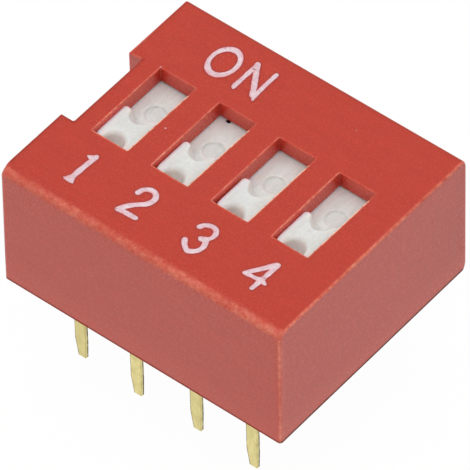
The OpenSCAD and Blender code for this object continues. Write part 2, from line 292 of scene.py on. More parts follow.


# Edge weight and tint of the cover's outside. Painted highlight: the numbered edge's round, by
# sin(0.9 pi u)^0.6 with u from 0 to 1 over it, the plain end's top edge, the upright between them
# and a rim of the notch. Painted shade, as dark lines: the foot, the far top edges and two of the
# upright edges. A little painted light: the walls just above the foot and those of the notch.
def coverWeights(rings, columns, z, footRows, topCount):
    f, wear, soil, shadeReach = cover, cover["wear"], cover["soil"], cover["shadeReach"]
    across, along = rings[:, :, 0], rings[:, :, 1]
    fromLeft, fromRight = across - coverLow[0], coverHigh[0] - across
    fromFront = along - coverLow[1] - f["frontLean"] * z[:, None] / coverHigh[2]
    fromBack, fromMiddle = coverHigh[1] - along, along - f["notchMiddle"]
    rows, flat = np.arange(len(z))[:, None], len(z) - 2
    topRows, near = flat - topCount, 0.01
    underTop, onRound = rows < topRows, (rows >= topRows) & (rows < flat)
    atTop = z[:, None] > coverHigh[2] - f["topRound"] - near
    atFront = fromFront < f["frontRound"] + f["edgeLine"]
    atRight = fromRight < f["cornerRound"]
    inNotch = fromLeft < f["notchDepth"] - 2 * near
    litRim = inNotch & (np.abs(fromMiddle - f["notchWidth"] / 2) < f["litReach"])

    # painted highlight: the band over the numbered edge's round, the right end's top edge, the
    # upright edge and the notch's lit rim
    rise = np.clip((rows - topRows) / (topCount - 1), 0, 1)
    band = np.sin(0.9 * np.pi * rise) ** 0.6 * onRound
    band = band + f["flatShare"]["wear"] * (rows == flat)
    line = f["highlightLine"]
    upright = np.clip(1 - np.abs(fromRight - line["middle"]) / line["half"], 0, 1)
    upright = np.maximum(wear["corner"] * upright, wear["cornerSides"]) * columns * underTop
    edge = wear["right"] * (onRound & atTop) * (fromRight < f["topRound"] + near)
    edge = np.maximum(edge, wear["front"] * band * atFront)
    edge = np.maximum(edge, upright * atFront * atRight)
    edge = np.maximum(edge, wear["notch"] * (onRound & atTop) * litRim)

    # painted shade: dark lines along the far top edges, two upright edges and the foot
    atBack = fromBack < shadeReach["back"]
    dark = (atBack | (fromLeft < f["notchDepth"] + shadeReach["left"])) & ~litRim
    dark = dark & atTop & (rows >= topRows) & (rows <= flat)
    dark = dark * np.clip((fromFront - f["shadeStart"]) / f["shadeFade"], 0, 1)
    dark = dark * np.where(rows < flat, 1, f["flatShare"]["soil"])
    # painted shade on the upright edges at the left of the numbered side and at the right of the ON
    # side
    corner = np.minimum(np.where(atFront, fromLeft, 9), np.where(atRight, 2 * fromBack, 9))
    corner = np.clip(2 - corner / f["cornerLine"], 0, 1) * (rows < topRows + f["cornerRows"])
    dark = np.maximum(dark, corner) * np.where(atBack, soil["back"], soil["left"])
    aside = np.clip(fromRight / f["cornerRound"], 0, 1)
    footShade = soil["right"] + (soil["front"] - soil["right"]) * aside
    dark = np.maximum(dark, footRows[:, None] * footShade)
    # painted light: a little paler just above the foot line and on the notch's walls
    aboveFoot = rows - np.sum(footRows)
    pale = f["footPale"][0] * (aboveFoot == 0) + f["footPale"][1] * (aboveFoot == 1)
    notchWall = inNotch & (np.abs(fromMiddle) < f["notchWidth"] / 2 + 3 * near)
    pale = np.where(notchWall & underTop & ~footRows[:, None], f["notchPale"], pale)
    return edge, np.where(dark > 0, -dark, pale)


# A window from the top down: grown by rim (1 - sin a) at height - rim (1 - cos a), then straight.
# Its right side leans by skew v, v running from -1 at the front to 1 at the back. The rim takes
# a painted highlight by side, with a painted dark line (shade) beside the right one; the walls take
# painted light, and painted shade where the left one meets the back one.
def windowRings(index, height, ceiling):
    w, g, x = window, cover["guard"], switchX[index - 1]
    a = np.linspace(0, np.pi / 2, 7)
    grow = np.r_[w["rim"] + np.array(w["rimLines"]) * g, w["rim"] * (1 - np.sin(a)), 0, 0]
    z = np.r_[height, height, height, height - w["rim"] * (1 - np.cos(a)),
              height - w["rim"] - g, ceiling]
    rings = roundedRings(x, w["middle"], w["width"], w["length"], w["corner"], z, grow)
    # two more points on each of three sides: on the right its painted highlight fades between them,
    # and on the back and the left the painted shade of the corner between those two sides does
    left, back = x - w["width"] / 2, w["middle"] + w["length"] / 2
    reach, fadeEnd = w["cornerReach"], back - w["rimFade"]
    onRight, onBack, onLeft = 17, 26, 35  # the last point before each side
    for before, axis, place in ((onLeft, 1, back - reach), (onLeft, 1, back - reach / 5),
                                (onBack, 0, left + reach / 5), (onBack, 0, left + reach),
                                (onRight, 1, fadeEnd + w["fadeLength"]), (onRight, 1, fadeEnd)):
        here, there = rings[:, before], rings[:, (before + 1) % rings.shape[1]]
        share = (place - here[:, axis]) / (there[:, axis] - here[:, axis])
        rings = np.insert(rings, before + 1, here + share[:, None] * (there - here), 1)
    acrossX = (rings[:, :, 0] - x) / (w["width"] / 2)
    acrossY = (rings[:, :, 1] - w["middle"]) / (w["length"] / 2)
    atRight = acrossX > 0.99
    faded = atRight & (rings[:, :, 1] > fadeEnd + w["fadeLength"] / 2)
    # painted highlight on the rim, by side
    sides = {"left": -acrossX, "back": acrossY, "right": acrossX, "front": -acrossY}
    wearAndHighlight = np.max([np.where(out > 0.99, w["rimHighlight"][side], 0) for side, out in sides.items()], 0)
    wearAndHighlight = np.where(faded, w["rimHighlight"]["back"], wearAndHighlight)
    lean = w["skew"] * np.clip(acrossY, -1, 1) + w["play"][index]
    rings[:, :, 0] += lean * (acrossX > 0.5)

    # painted light on the walls, painted shade in the corner of the left and back walls and a
    # painted dark line beside the right rim
    rimRows = np.r_[0, 0, np.ones(8), 0, 0][:, None]
    pale = np.r_[np.zeros(10), w["wallPale"], w["wallPale"] / 4][:, None]
    darker = np.r_[np.zeros(10), w["cornerShade"]["top"], w["cornerShade"]["foot"]][:, None]
    fromCorner = rings[:, :, 0] - left + back - rings[:, :, 1]
    inCorner = np.minimum(acrossX + 1, 1 - acrossY) < 0.01 + w["corner"]
    inCorner = inCorner & (fromCorner < 0.4 * reach)
    paintedShade = np.where(atRight & ~faded, w["rimShade"], 0) * (np.arange(len(z)) == 1)[:, None]
    return rings, rimRows * wearAndHighlight, pale - paintedShade - inCorner * darker


def addBlock(shell, low, high):
    (x0, y0, z0), (x1, y1, z1) = low, high
    foot = np.array([[x0, y0], [x1, y0], [x1, y1], [x0, y1]])
    rings = np.stack([np.c_[foot, np.full(4, z0)], np.c_[foot, np.full(4, z1)]])
    ids = addRings(shell, rings)
    fillFlat(shell, [ids[0]], (0, 0, -1))
    fillFlat(shell, [ids[-1]], (0, 0, 1))


# The outside, the windows and the hollow closed into one shell, and a rib between each two windows
def makeCover():
    f, height = cover, coverHigh[2]
    ceiling, lap = height - f["topWall"], f["ribLap"]
    hollowWidth = coverHigh[1] - coverLow[1] - 2 * f["sideWall"]
    shell = newShell()
    outside = addRings(shell, *coverOutside())
    windows = [addRings(shell, *windowRings(i, height, ceiling)) for i in range(1, 5)]
    fillFlat(shell, [outside[-1]] + [ids[0] for ids in windows], (0, 0, 1))
    inside = addRings(shell, roundedRings(0, 0, f["hollowLength"], hollowWidth, f["hollowCorner"],
                                          [ceiling, 0], [0, 0]))
    fillFlat(shell, [inside[0]] + [ids[-1] for ids in windows], (0, 0, -1))
    fillFlat(shell, [outside[0], inside[-1]], (0, 0, -1))
    for x in switchX[:3]:
        middle, half = x + pitch / 2, f["ribWidth"] / 2
        addBlock(shell, (middle - half, -hollowWidth / 2 - lap, ceiling - f["ribDrop"]),
                 (middle + half, hollowWidth / 2 + lap, ceiling + lap))
    return makePiece("coverShell", shell)


coverShell = makeCover()
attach(coverShell, "case")
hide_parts("cover")
print("cover made:", len(coverShell.data.polygons), "faces")

slider = {
    "knobWidth": 1.44,
    "knobLength": 1.67,
    "knobHeight": 0.44,
    "knobCorner": 0.14,
    # each knob's own offset across its window, and along it of the ON end, notches and dimples
    "knobPlay": {1: (-0.038, -0.01, 0.06, 0.05), 2: (-0.01, -0.025, 0.01, -0.02),
                 3: (0.015, -0.08, -0.03, 0.03), 4: (-0.015, 0.015, 0.08, 0.1)},
    "knobRound": 0.045,
    "topLines": (0.03, 0.045),  # how far in the last two rings stand on the flat top
    "guard": 0.012,
    # the ON end (1) and the other (-1): radius of the slanting bore that makes the thumb notch,
    # round on its top edge, how much deeper it reaches in, and the corners' stretch along Y
    "ends": {1: {"radius": 0.44, "round": 0.06, "deeper": 0.0, "stretch": 1.0},
             -1: {"radius": 0.4, "round": 0.13, "deeper": 0.065, "stretch": 2.8}},
    "thumbSlant": math.radians(36),
    "thumbMouth": 0.13,   # round where a thumb notch meets the knob's end
    "thumbFoot": 0.12,    # hollow round where a thumb notch meets the plate
    "onPale": 0.4,        # how much painted light makes the ON side's notch paler
    "offShade": 0.17,      # and how much painted shade darkens the other one
    "plainHighlight": 0.3,     # painted highlight of the knob's top edges away from the left side
    "plateThickness": 0.6,
    "plateCorner": 0.2,
    "plateRound": 0.03,
    "plateLine": 0.05,    # how far in the last ring stands on the plate's flat
    "dimpleRadius": 0.44,
    "dimpleShift": 0.05,  # towards +X
    "dimpleAway": 0.51,   # from the knob's end to the dimple's middle
    "dimpleDepth": 0.075,
    "dimpleWall": 0.12,   # mean width of the dimple's soft sloping wall
    "dimpleLean": 0.05,   # by which it is narrower at -X and +Y, and wider across from there
    # painted light on the dimple's wall
    "dimplePale": 0.5,
    "bossWidth": 1.0,
    "bossLength": 1.1,
    "bossHeight": 0.35,
    "bossCorner": 0.03,
    "studRadius": 0.25,
    "headRadius": 0.38,
    "headHeight": 0.1,
    "headChamfer": (0.05, 0.04),  # inwards and upwards
    "stripThickness": 0.1,
}


# The knob's outline at each height: its straight sides and upright corners move in by inset. Each
# thumb notch is a slanting bore, so its section is the ellipse (a cos t, out - b sin t) about the
# knob's end, with out = (top - z) tan(slant) + foot (1 - sqrt(1 - k^2)), k rising from 0 to 1 over
# the last foot of height, and b = a / cos(slant). A mouth arc of radius q joins it to the end: it
# turns by 90 degrees - turn, and the two meet at sin(t) = meet.
def knobRings(x, y, z, inset, last, top, endMove, notchMove):
    s = slider
    halfX, half, c = s["knobWidth"] / 2, s["knobLength"] / 2, s["knobCorner"]
    slant, foot, guards = s["thumbSlant"], s["thumbFoot"], (s["guard"],) * 2
    k = np.clip(1 - (z - top + s["knobHeight"]) / foot, 0, 1)
    sloped = (top - z) * math.tan(slant) + foot * (1 - np.sqrt(1 - k * k))
    runs = []
    for side, start in ((1, 0), (-1, 180)):
        shape = s["ends"][side]
        halfY = half + (endMove if side > 0 else 0)
        out = sloped + half + side * notchMove - shape["deeper"] - halfY
        grow = roundInset(z, top, shape["round"]) + last
        a, b = shape["radius"] + grow, shape["radius"] / math.cos(slant) + grow
        q = np.maximum(s["thumbMouth"] - grow, 0.01)
        meet = (out + inset) / b
        for _ in range(8):
            turn = np.arctan2(meet / b, np.sqrt(1 - meet * meet) / a)
            meet = (out + inset + q * (1 - np.sin(turn))) / b
        first = np.arcsin(meet)[:, None]
        t = first + (np.pi - 2 * first) * np.linspace(0, 1, 41)[1:-1]
        scoopX, scoopY = a[:, None] * np.cos(t), halfY + out[:, None] - b[:, None] * np.sin(t)
        scoop = np.stack([x + side * scoopX, y + side * scoopY], -1)
        mouthX = side * (a * np.sqrt(1 - meet * meet) + q * np.cos(turn))
        mouthY = y + side * (halfY - inset - q)
        turn = np.degrees(turn)
        cornerX, cornerY = side * (halfX - c), y + side * (halfY - c)
        corners = [cornerRun(x + cornerX, cornerY, c - inset, start, 90, guards),
                   cornerRun(x - cornerX, cornerY, c - inset, start + 90, 90, guards)]
        end = (y + side * (halfY - inset))[:, None]
        for run, _ in corners:
            run[:, :, 1] = end + (run[:, :, 1] - end) * shape["stretch"]
        runs += [
            corners[0],
            cornerRun(x + mouthX, mouthY, q, start + 90, 90 - turn, (0, 0)),
            (scoop, np.zeros(t.shape[1])),
            cornerRun(x - mouthX, mouthY, q, start + turn, 90 - turn, (0, 0)),
            corners[1],
        ]
    return ringsFrom(runs, z)


# A knob whose top edge takes a painted highlight, most along its left side. The notch at the ON
# end takes painted light, paler by onPale (0.2 - 0.8 u), and the other takes painted warm shade,
# darker by (1 + 0.4 u) times its shade amount, u being the place across it
def addKnob(shell, index, x, y, top):
    s, plateTop = slider, top - slider["knobHeight"]
    across, endMove, notchMove, _ = s["knobPlay"][index]
    x = x + across
    foot = s["thumbFoot"] * np.array([0, 0.04, 0.12, 0.25, 0.45, 0.7, 1])
    widest = s["ends"][-1]["round"]
    z = np.r_[plateTop + foot, np.linspace(plateTop + foot[-1], top - widest, 4)[1:-1],
              top - widest * np.linspace(1, 0.4, 7)[:-1],
              quarterRound(s["knobRound"], top, 9)[1], top, top]
    last = np.r_[np.zeros(len(z) - 2), s["topLines"]]
    inset = roundInset(z, top, s["knobRound"]) + last
    knob, columns = knobRings(x, y, z, inset, last, top, endMove, notchMove)

    depth = ((top - z) / s["knobHeight"])[:, None]
    endward = np.clip((knob[:, :, 1] - y) / s["knobLength"] * 4, -2, 2)
    u = (knob[:, :, 0] - x) / s["ends"][-1]["radius"]
    inNotch = (np.abs(u) < 1.25) & (np.abs(knob[:, :, 1] - y) < s["knobLength"] / 2 - 0.02)
    # painted light in the ON end's notch and painted shade in the other
    above = (depth < 0.999) * inNotch
    pale = above * np.clip(2.2 * depth, 0, 1) * np.clip(endward, 0, 1)
    soil = above * np.clip(5 * depth, 0, 1) * (1 - 0.4 * depth) * np.clip(-endward, 0, 1)
    tint = pale * (0.2 - 0.8 * u) * s["onPale"] - soil * (1 + 0.4 * u) * s["offShade"]
    # painted highlight on the knob's top edge, strongest along its left side
    onLeft = knob[:, :, 0] < x - s["knobWidth"] / 2 + 0.1
    leftHighlight = np.maximum(columns[None, :], s["plainHighlight"] + (1 - s["plainHighlight"]) * onLeft)
    wearAndHighlight = np.where(u < 0, leftHighlight, s["plainHighlight"]) * ~inNotch
    rows = (z > top - s["knobRound"]) & (np.arange(len(z)) < len(z) - 1)
    ids = addRings(shell, knob, rows[:, None] * wearAndHighlight, tint)
    fillFlat(shell, [ids[-1]], (0, 0, 1))
    return ids[0]


# A shallow dimple: circles of radius r - wall u at depth (1 - cos(pi u)) / 2, whose middle moves
# by lean u. The part of its wall that faces -X and +Y is painted a little paler, painted light
# against the shade there
def addDimple(shell, x, y, top):
    s, u, wall = slider, np.linspace(0, 1, 9), slider["dimpleWall"]
    radius = s["dimpleRadius"] + np.r_[0.01, -wall * u, -wall - 0.01]
    lean = s["dimpleLean"] * np.r_[0, u, 1] * 0.7
    z = top - s["dimpleDepth"] * np.r_[0, 0.5 - 0.5 * np.cos(np.pi * u), 1]
    rings = circleRings(x + s["dimpleShift"] - lean, y + lean, radius, z, 40)
    # painted light on the part of the wall that faces -X and +Y
    turn = np.arctan2(rings[:, :, 1] - y, rings[:, :, 0] - x)
    onWall = np.r_[0, np.sin(np.pi * u), 0][:, None]
    ids = addRings(shell, rings, 0, s["dimplePale"] * onWall * np.clip(np.cos(turn + 1.0), 0, 1))
    fillFlat(shell, [ids[-1]], (0, 0, 1))
    return ids[0]


# Plate, knob and dimples above; the boss below, with the stud that holds the contact's strip
def makeSlider(index):
    s = slider
    low, high = nodeBox(f"slider_{index}")
    x, y = (low[:2] + high[:2]) / 2
    width, length = high[:2] - low[:2]
    plateTop = high[2] - s["knobHeight"]
    plateFoot = plateTop - s["plateThickness"]
    shell = newShell()

    edgeIn, edgeZ = quarterRound(s["plateRound"], 0, 4)
    z = np.r_[plateFoot - edgeZ[::-1], plateTop + edgeZ, plateTop]
    inset = np.r_[edgeIn[::-1], edgeIn, s["plateLine"]]
    plate = addRings(shell, roundedRings(x, y, width, length, s["plateCorner"], z, -inset))
    loops = [plate[-1], addKnob(shell, index, x, y, high[2])]
    for side in (-1, 1):
        away = side * (s["knobLength"] / 2 + s["dimpleAway"]) + s["knobPlay"][index][3]
        loops.append(addDimple(shell, x, y + away, plateTop))
    fillFlat(shell, loops, (0, 0, 1))

    bossFoot = plateFoot - s["bossHeight"]
    boss = addRings(shell, roundedRings(x, y, s["bossWidth"], s["bossLength"], s["bossCorner"],
                                        [bossFoot, plateFoot], [0, 0]))
    fillFlat(shell, [plate[0], boss[-1]], (0, 0, -1))
    headTop = bossFoot - s["stripThickness"]
    headFoot, (chamferIn, chamferUp) = headTop - s["headHeight"], s["headChamfer"]
    head, stem = s["headRadius"], s["studRadius"]
    radius = np.r_[head - chamferIn, head, head, stem, stem]
    z = [headFoot, headFoot + chamferUp, headTop, headTop, bossFoot]
    stud = addRings(shell, circleRings(x, y, radius, z, 32))
    fillFlat(shell, [stud[0]], (0, 0, -1))
    fillFlat(shell, [boss[0], stud[-1]], (0, 0, -1))

    piece = makePiece(f"sliderKnob{index}", shell)
    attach(piece, f"switch_{index}")
    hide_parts(f"slider_{index}")
    return piece


sliders = [makeSlider(i) for i in range(1, 5)]
print("sliders made:", len(sliders[0].data.polygons), "faces each")

terminal = {
    "thickness": 0.15,
    "padWidth": 0.9,
    "pinWidth": 0.48,
    "bendRadius": 0.15,
    "tipHeight": 0.8,
    "tipChamfer": 0.02,
    "leftCut": 0.12,     # how far each side slants in at the tip, as seen from outside
    "rightCut": 0.03,
    "edgeRound": 0.03,
    # how dark the edges are, outer left, outer right, inner right and inner left, and how far each
    # reaches on to the broad faces and, from the inner and the outer edge, on to the right cut face
    "edgeShare": (0.7, 0.1, 1.0, 0.1),
    "edgeLine": {"broad": 0.02, "inner": 0.07, "outer": 0.01},
    "dullness": {1: 0.6, 2: 0.25, 3: 0.4, 4: 0.05, 5: 0.3, 6: 0.1, 7: 0.5, 8: 0.2},
    "bendStart": 0.1,    # height where a pin starts to lean aside
    "bendHeight": 1.9,
    # how far each pin's tip leans along X and Y
    "bends": {1: (0.09, 0.2), 2: (0.09, 0.06), 3: (0.09, 0.1), 4: (0.04, 0.0),
              5: (-0.03, -0.05), 6: (0.02, -0.1), 7: (-0.04, -0.02), 8: (0.03, -0.08)},
}


# A strip: a round-cornered section of half width w and half thickness t / 2 carried along a
# middle line that runs level over the pad, turns down through a quarter circle and drops to the
# tip. Below bendStart it is bent aside by bend * (3 u^2 - 2 u^3), u running from 0 there to 1 at
# bendHeight lower, as pins are once handled.
def makeTerminal(index):
    f = terminal
    low, high = nodeBox(f"terminal_{index}")
    front = index <= 4
    side = -1 if front else 1
    x0, t = switchX[(index if front else 9 - index) - 1], f["thickness"]
    pinY = (low[1] if front else high[1]) - side * t / 2
    reach = high[1] - low[1] - t / 2
    r = f["bendRadius"] + t / 2
    padZ, tipZ = high[2] - t / 2, low[2]

    turn = np.radians(np.linspace(90, 180, 13))
    neck, start, cutZ = padZ - r, f["bendStart"], tipZ + f["tipHeight"]
    drop = np.r_[np.linspace(neck, start, 4)[1:], np.linspace(start, cutZ, 12)[1:],
                 np.linspace(cutZ, tipZ + f["tipChamfer"], 8)[1:], tipZ]
    inward = np.r_[reach, r + r * np.cos(turn), np.zeros(len(drop))]
    z = np.r_[padZ, padZ - r + r * np.sin(turn), drop]
    angle = np.r_[np.pi / 2, turn, np.full(len(drop), np.pi)]

    down = np.clip((cutZ - z) / f["tipHeight"], 0, 1)
    shrink = np.where(np.arange(len(z)) == len(z) - 1, f["tipChamfer"], 0)
    half = np.where(z > neck - 1e-6, f["padWidth"], f["pinWidth"]) / 2 - shrink
    left, right = half - f["leftCut"] * down, half - f["rightCut"] * down
    thick = t / 2 - shrink

    e, broad = f["edgeRound"], f["edgeLine"]["broad"]
    inner, outer = f["edgeLine"]["inner"], f["edgeLine"]["outer"]
    runs = [
        cornerRun(sx * ((left if sx > 0 else right) - e), sy * (thick - e), e, start, 90, guards, 4)
        for sx, sy, start, guards in ((1, 1, 0, (broad, broad)), (-1, 1, 90, (broad, outer)),
                                      (-1, -1, 180, (inner, broad)), (1, -1, 270, (broad, broad)))
    ]
    section = np.concatenate([run[0] for run in runs], 1)
    dark = np.concatenate([run[1] * share for run, share in zip(runs, f["edgeShare"])])
    dark = np.broadcast_to(dark, section.shape[:2])
    across, through = section[..., 0], section[..., 1]
    points = np.stack([
        x0 + side * across,
        pinY - side * (inward[:, None] + through * np.cos(angle)[:, None]),
        z[:, None] + through * np.sin(angle)[:, None],
    ], -1)
    bendX, bendY = f["bends"][index]
    u = np.clip((f["bendStart"] - points[..., 2]) / f["bendHeight"], 0, 1)
    fall = u * u * (3 - 2 * u)
    points[..., 0] += bendX * fall
    points[..., 1] += bendY * fall
    shell = newShell()
    ids = addRings(shell, points[::-1], dark[::-1], -f["dullness"][index])
    fillFlat(shell, [ids[0]], (0, 0, -1))
    fillFlat(shell, [ids[-1]], (0, -side, 0))
    piece = makePiece(f"terminalStrip{index}", shell)
    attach(piece, "case")
    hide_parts(f"terminal_{index}")
    return piece


terminals = [makeTerminal(i) for i in range(1, 9)]
print("terminals made:", len(terminals[0].data.polygons), "faces each")

# Strokes in millimetres: kind, line, and half width at its start and end. A ring has a middle, two
# radii, and the half width at its sides and at its top and foot.
legend = {
    "height": 0.014,
    "sunk": 0.01,        # how far the ink reaches into the cover
    "ragged": 0.05,
    "skirt": 0.04,       # how far the dark skirt stands out from the stroke
    "skirtHeight": 0.002,
    "bluntReach": 0.3,   # length of a blunt end against a round one
    "endWear": 0.4,
    "strokes": {
        "inkOn": [
            ("ring", (-3.07, 3.415), (0.485, 0.64), (0.087, 0.114)),
            ("line", [(-2.11, 4.02), (-2.12, 3.4), (-2.12, 2.76)], 0.092, 0.084),
            ("line", [(-2.12, 4.02), (-1.72, 3.38), (-1.38, 2.84)], 0.1, 0.11),
            ("line", [(-1.33, 4.02), (-1.33, 3.4), (-1.3, 2.8)], 0.085, 0.085),
            ("line", [(-1.36, 2.9), (-1.31, 2.8), (-1.25, 2.68)], 0.12, 0.05),
            ("line", [(-2.13, 2.86), (-2.12, 2.78), (-2.09, 2.69)], 0.1, 0.05),
            ("fleck", [(-2.1, 3.77), (-2.07, 3.78), (-2.04, 3.78)], 0.045, 0.035),
            ("fleck", [(-3.44, 3.95), (-3.42, 3.93), (-3.4, 3.9)], 0.035, 0.03),
            ("dust", [(-2.72, -0.1), (-2.7, -0.09), (-2.69, -0.07)], 0.025, 0.015),
            ("dust", [(-4.6, 1.94), (-4.58, 1.95), (-4.56, 1.96)], 0.02, 0.015),
        ],
        "inkOne": [
            ("line", [(-3.69, -2.5), (-3.73, -3.1), (-3.75, -3.74)], 0.1, 0.11),
            ("blunt", [(-3.71, -2.6), (-3.83, -2.61), (-3.95, -2.62)], 0.17, 0.03),
            ("blunt", [(-3.75, -3.6), (-3.755, -3.72), (-3.76, -3.83)], 0.1, 0.21),
        ],
        "inkTwo": [
            ("line", [(-1.6, -2.85), (-1.55, -2.67), (-1.41, -2.54), (-1.25, -2.5), (-1.09, -2.56),
                      (-0.99, -2.7), (-0.98, -2.88), (-1.07, -3.08), (-1.24, -3.24), (-1.42, -3.42),
                      (-1.55, -3.6), (-1.64, -3.8)], 0.1, 0.11),
            ("line", [(-1.66, -3.8), (-1.35, -3.785), (-0.95, -3.775)], 0.11, 0.095),
            ("fleck", [(-1.73, -3.86), (-1.71, -3.85), (-1.69, -3.84)], 0.035, 0.03),
        ],
        "inkThree": [
            ("line", [(0.94, -2.77), (1.03, -2.62), (1.19, -2.53), (1.36, -2.52), (1.5, -2.6),
                      (1.57, -2.76), (1.55, -2.93), (1.45, -3.07), (1.28, -3.14)], 0.1, 0.085),
            ("line", [(1.5, -3.12), (1.4, -3.14), (1.31, -3.16)], 0.1, 0.1),
            ("line", [(1.42, -3.08), (1.53, -3.2), (1.59, -3.4), (1.55, -3.6), (1.42, -3.75),
                      (1.27, -3.82), (1.12, -3.74), (0.98, -3.61), (0.91, -3.5)], 0.1, 0.1),
        ],
        "inkFour": [
            ("line", [(3.97, -2.52), (3.7, -2.92), (3.38, -3.37)], 0.12, 0.085),
            ("line", [(3.36, -3.42), (3.8, -3.38), (4.18, -3.4)], 0.085, 0.07),
            ("line", [(3.9, -3.36), (3.99, -3.36), (4.08, -3.37)], 0.12, 0.1),
            ("line", [(4.01, -2.51), (3.99, -3.1), (3.955, -3.79)], 0.098, 0.088),
            ("fleck", [(3.98, -3.2), (4.0, -3.21), (4.03, -3.22)], 0.03, 0.02),
        ],
    },
}


# Catmull-Rom curve through the points: each span is a cubic whose end slopes are half the
# difference of the neighbouring points
def smoothLine(points, count):
    p = np.asarray(points, float)
    p = np.r_[[2 * p[0] - p[1]], p, [2 * p[-1] - p[-2]]]
    spans = len(p) - 3
    u = np.linspace(0, spans, count)
    k = np.minimum(u.astype(int), spans - 1)
    t = (u - k)[:, None]
    a, b, c, d = p[k], p[k + 1], p[k + 2], p[k + 3]
    bend, twist = 2 * a - 5 * b + 4 * c - d, 3 * b - a - 3 * c + d
    return 0.5 * (2 * b + (c - a) * t + bend * t ** 2 + twist * t ** 3)


# A stroke of ink: a low dome of half width w and height h carried along a line, with round ends.
# Across it runs as w cos a, and up as h sqrt(sin a), so that its top is flat, or down as
# sunk sin a; w varies by ragged times a sum of six sines along the line. Its edges and ends count
# as worn.
def addStroke(shell, line, halfWidth, height, seed, kind, tint):
    f, closed, atEnds = legend, kind == "ring", 0.0
    if closed:
        way = np.roll(line, -1, 0) - np.roll(line, 1, 0)
    else:
        way = np.gradient(line, axis=0)
    way /= np.linalg.norm(way, axis=1, keepdims=True)
    phase = np.random.default_rng(seed).uniform(0, 2 * np.pi, 6)
    s = np.linspace(0, 2 * np.pi, len(line), endpoint=not closed)
    wobble = sum(np.sin(n * s + q) / (1 + 0.15 * n) for n, q in zip((2, 3, 5, 8, 13, 19), phase))
    width = halfWidth * (1 + f["ragged"] * wobble)
    if not closed:
        reach = f["bluntReach"] if kind == "blunt" else 1.0
        cap = np.radians(np.linspace(85, 0, 8))
        first = line[0] - way[0] * reach * width[0] * np.sin(cap)[:, None]
        last = line[-1] + way[-1] * reach * width[-1] * np.sin(cap[::-1])[:, None]
        line = np.r_[first, line[1:-1], last]
        way = np.r_[np.tile(way[0], (len(cap), 1)), way[1:-1], np.tile(way[-1], (len(cap), 1))]
        width = np.r_[width[0] * np.cos(cap), width[1:-1], width[-1] * np.cos(cap[::-1])]
        place = np.abs(np.linspace(-1, 1, len(line)))[:, None]
        atEnds = f["endWear"] * (place > 1 - len(cap) / len(line))
    a = np.linspace(0, 2 * np.pi, 17)[:-1]
    up = np.where(np.sin(a) > 0, height * np.abs(np.sin(a)) ** 0.5, f["sunk"] * np.sin(a))
    normal = np.c_[-way[:, 1], way[:, 0]]
    flat = line[:, None] + normal[:, None] * (width[:, None] * np.cos(a))[..., None]
    level = np.broadcast_to(coverHigh[2] + up[None, :, None], flat.shape[:2] + (1,))
    points = np.concatenate([flat, level], -1)
    rim = np.maximum(np.abs(np.cos(a)) ** 4, atEnds) * (tint >= 0)
    rim = np.broadcast_to(np.maximum(rim, kind == "dust"), points.shape[:2])
    # the section stands across the line, so its points are turned round to face outwards
    ids = addPoints(shell, points[:, ::-1], rim, tint)
    if closed:
        ids = np.r_[ids, ids[:1]]
    joinRings(shell, ids)
    if not closed:
        fillFlat(shell, [ids[0]], (-way[0][0], -way[0][1], 0))
        fillFlat(shell, [ids[-1]], (way[-1][0], way[-1][1], 0))


# Each stroke lies on a thin dark skirt, which shows as a fine line round it. Flecks are bare spots
# in a stroke and dust is a speck of ink, so neither has one.
def makeLegend(name, strokes, seed):
    f, shell = legend, newShell()
    for k, (kind, place, first, last) in enumerate(strokes):
        layers = [(f["skirt"], f["skirtHeight"], -1.0), (0.0, f["height"] * (1 - 0.08 * k), 0.0)]
        if kind in ("fleck", "dust"):
            layers = [(0.0, f["height"] + f["skirtHeight"], -0.6 if kind == "fleck" else 0.0)]
        if kind == "ring":
            a = np.linspace(0, 2 * np.pi, 97)[:-1]
            line = np.c_[place[0] + first[0] * np.cos(a), place[1] + first[1] * np.sin(a)]
            halfWidth = last[0] + (last[1] - last[0]) * np.sin(a) ** 2
        else:
            count = 12 * (len(place) - 1) + 1
            line, halfWidth = smoothLine(place, count), np.linspace(first, last, count)
        for skirt, height, tint in layers:
            addStroke(shell, line, halfWidth + skirt, height, seed + k, kind, tint)
    piece = makePiece(name, shell, 60)
    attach(piece, "case")
    return piece


crumb = {"place": (-1.65, 1.88), "length": 0.16, "width": 0.1, "corner": 0.045, "height": 0.015}


# A crumb of dark dirt caught on the second slider's plate where it runs under the cover
def makeCrumb():
    f, shell, (x, y) = crumb, newShell(), crumb["place"]
    plateTop = nodeBox("slider_2")[1][2] - slider["knobHeight"]
    inset, z = quarterRound(f["height"], f["height"])
    rings = roundedRings(x, y, f["length"], f["width"], f["corner"], plateTop + z, -inset, 0)
    ids = addRings(shell, rings)
    fillFlat(shell, [ids[-1]], (0, 0, 1))
    piece = makePiece("dirtCrumb", shell)
    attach(piece, "switch_2")
    return piece


dirtCrumb = makeCrumb()
legendPieces = [makeLegend(name, strokes, 10 * n)
                for n, (name, strokes) in enumerate(legend["strokes"].items())]
print("legend made:", [p.name for p in legendPieces])


# Each input is a plain value, or the socket that it is linked from
def setInputs(tree, made, values):
    for name, value in values.items():
        if isinstance(value, bpy.types.NodeSocket):
            tree.links.new(value, made.inputs[name])
        else:
            made.inputs[name].default_value = value
    return made


def addNode(tree, kind, values=None, **settings):
    made = tree.nodes.new(kind)
    for name, value in settings.items():
        setattr(made, name, value)
    return setInputs(tree, made, values or {})


def mathNode(tree, operation, a, b, clamp=False):
    made = addNode(tree, "ShaderNodeMath", {0: a, 1: b}, operation=operation, use_clamp=clamp)
    return made.outputs[0]


def mixColour(tree, factor, a, b):
    return addNode(tree, "ShaderNodeMix", {0: factor, 6: a, 7: b}, data_type="RGBA").outputs[2]


def mixValue(tree, factor, a, b):
    return addNode(tree, "ShaderNodeMix", {0: factor, 2: a, 3: b}, data_type="FLOAT").outputs[0]


